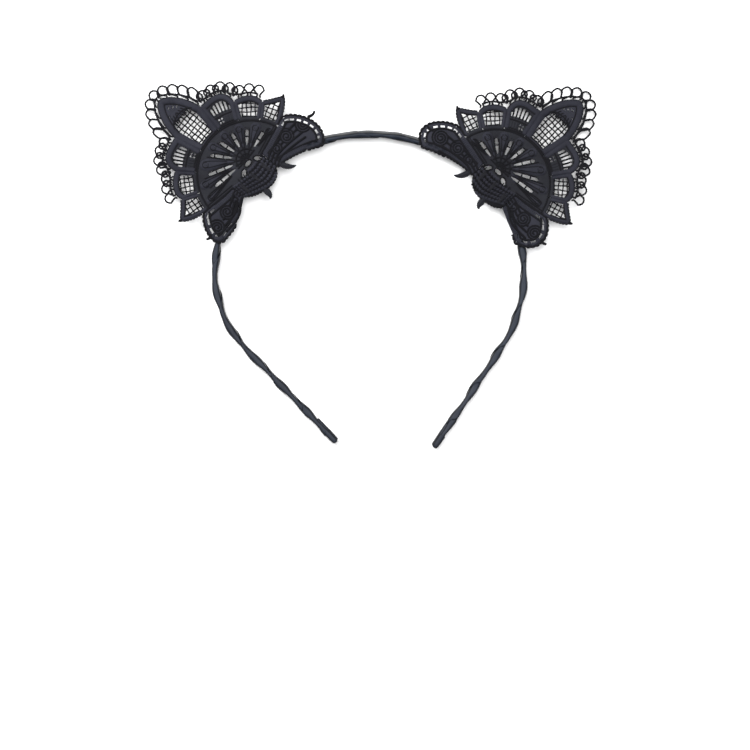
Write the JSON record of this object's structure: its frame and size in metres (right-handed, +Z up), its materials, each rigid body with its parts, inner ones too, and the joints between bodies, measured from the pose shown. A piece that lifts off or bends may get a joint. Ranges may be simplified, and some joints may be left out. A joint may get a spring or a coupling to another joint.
{
  "type": "animal ears headband",
  "caption": "Slim ribbon-wrapped spring-steel headband with two pointed openwork lace cat-style ears sewn to its crown, lying flat.",
  "frame": {"origin": "on the surface the headband lies on, under the middle of its bounding box", "axes": "+Z up from the surface, square to the plane of the hoop; +Y from the open ends towards the crown; +X to the right with the crown away from the viewer"},
  "size_m": [0.1946, 0.1586, 0.008],
  "materials": {
    "spring_steel": "plain rolled spring steel strip",
    "satin_ribbon": "black satin ribbon with a soft slate sheen",
    "lace_embroidery": "dense black embroidery thread, satin stitch and cord",
    "lace_net": "open black thread net",
    "lace_cord": "twisted black thread loops and spurs",
    "sewing_thread": "black sewing thread"
  },
  "bodies": {
    "crown": {"ribbon_wrap_crown": "satin_ribbon", "steel_hoop_crown": "spring_steel", "base_band_left": "lace_embroidery", "wing_upper_left": "lace_embroidery", "wing_lower_left": "lace_embroidery", "barb_long_left": "lace_cord", "barb_short_left": "lace_cord", "stitch_upper_left": "sewing_thread", "stitch_middle_left": "sewing_thread", "stitch_lower_left": "sewing_thread", "base_band_right": "lace_embroidery", "wing_upper_right": "lace_embroidery", "wing_lower_right": "lace_embroidery", "barb_long_right": "lace_cord", "barb_short_right": "lace_cord", "stitch_upper_right": "sewing_thread", "stitch_middle_right": "sewing_thread", "stitch_lower_right": "sewing_thread"},
    "arm_left": {"ribbon_wrap_arm_left": "satin_ribbon", "steel_hoop_arm_left": "spring_steel", "ribbon_end_left": "satin_ribbon"},
    "arm_right": {"ribbon_wrap_arm_right": "satin_ribbon", "steel_hoop_arm_right": "spring_steel", "ribbon_end_right": "satin_ribbon"},
    "ear_left": {"fan_left": "lace_embroidery", "petal_tip_left": "lace_embroidery", "petal_tip_net_left": "lace_net", "petal_side_inner_left": "lace_embroidery", "petal_mid_inner_left": "lace_embroidery", "petal_mid_inner_net_left": "lace_net", "petal_end_inner_left": "lace_embroidery", "petal_end_inner_net_left": "lace_net", "petal_side_outer_left": "lace_embroidery", "petal_mid_outer_left": "lace_embroidery", "petal_mid_outer_net_left": "lace_net", "petal_end_outer_left": "lace_embroidery", "petal_end_outer_net_left": "lace_net", "picot_edging_left": "lace_cord"},
    "ear_right": {"fan_right": "lace_embroidery", "petal_tip_right": "lace_embroidery", "petal_tip_net_right": "lace_net", "petal_side_inner_right": "lace_embroidery", "petal_mid_inner_right": "lace_embroidery", "petal_mid_inner_net_right": "lace_net", "petal_end_inner_right": "lace_embroidery", "petal_end_inner_net_right": "lace_net", "petal_side_outer_right": "lace_embroidery", "petal_mid_outer_right": "lace_embroidery", "petal_mid_outer_net_right": "lace_net", "petal_end_outer_right": "lace_embroidery", "petal_end_outer_net_right": "lace_net", "picot_edging_right": "lace_cord"}
  },
  "joints": [
    {"name": "arm_left_spread", "type": "hinge", "parent": "crown", "child": "arm_left", "pos_m": [-0.06553, 0.00992, 0.0028], "axis": [0, 0, -1], "range_deg": [-8, 25], "stiffness_Nm_per_rad": 0.35},
    {"name": "arm_right_spread", "type": "hinge", "parent": "crown", "child": "arm_right", "pos_m": [0.06452, 0.00992, 0.0028], "axis": [0, 0, 1], "range_deg": [-8, 25], "stiffness_Nm_per_rad": 0.35},
    {"name": "ear_left_fold", "type": "hinge", "parent": "crown", "child": "ear_left", "pos_m": [-0.05319, 0.04045, 0.0065], "axis": [0.6365, 0.7713, 0], "range_deg": [-45, 60], "stiffness_Nm_per_rad": 0.03},
    {"name": "ear_right_fold", "type": "hinge", "parent": "crown", "child": "ear_right", "pos_m": [0.05565, 0.03678, 0.0065], "axis": [0.7005, -0.7137, 0], "range_deg": [-45, 60], "stiffness_Nm_per_rad": 0.03}
  ]
}
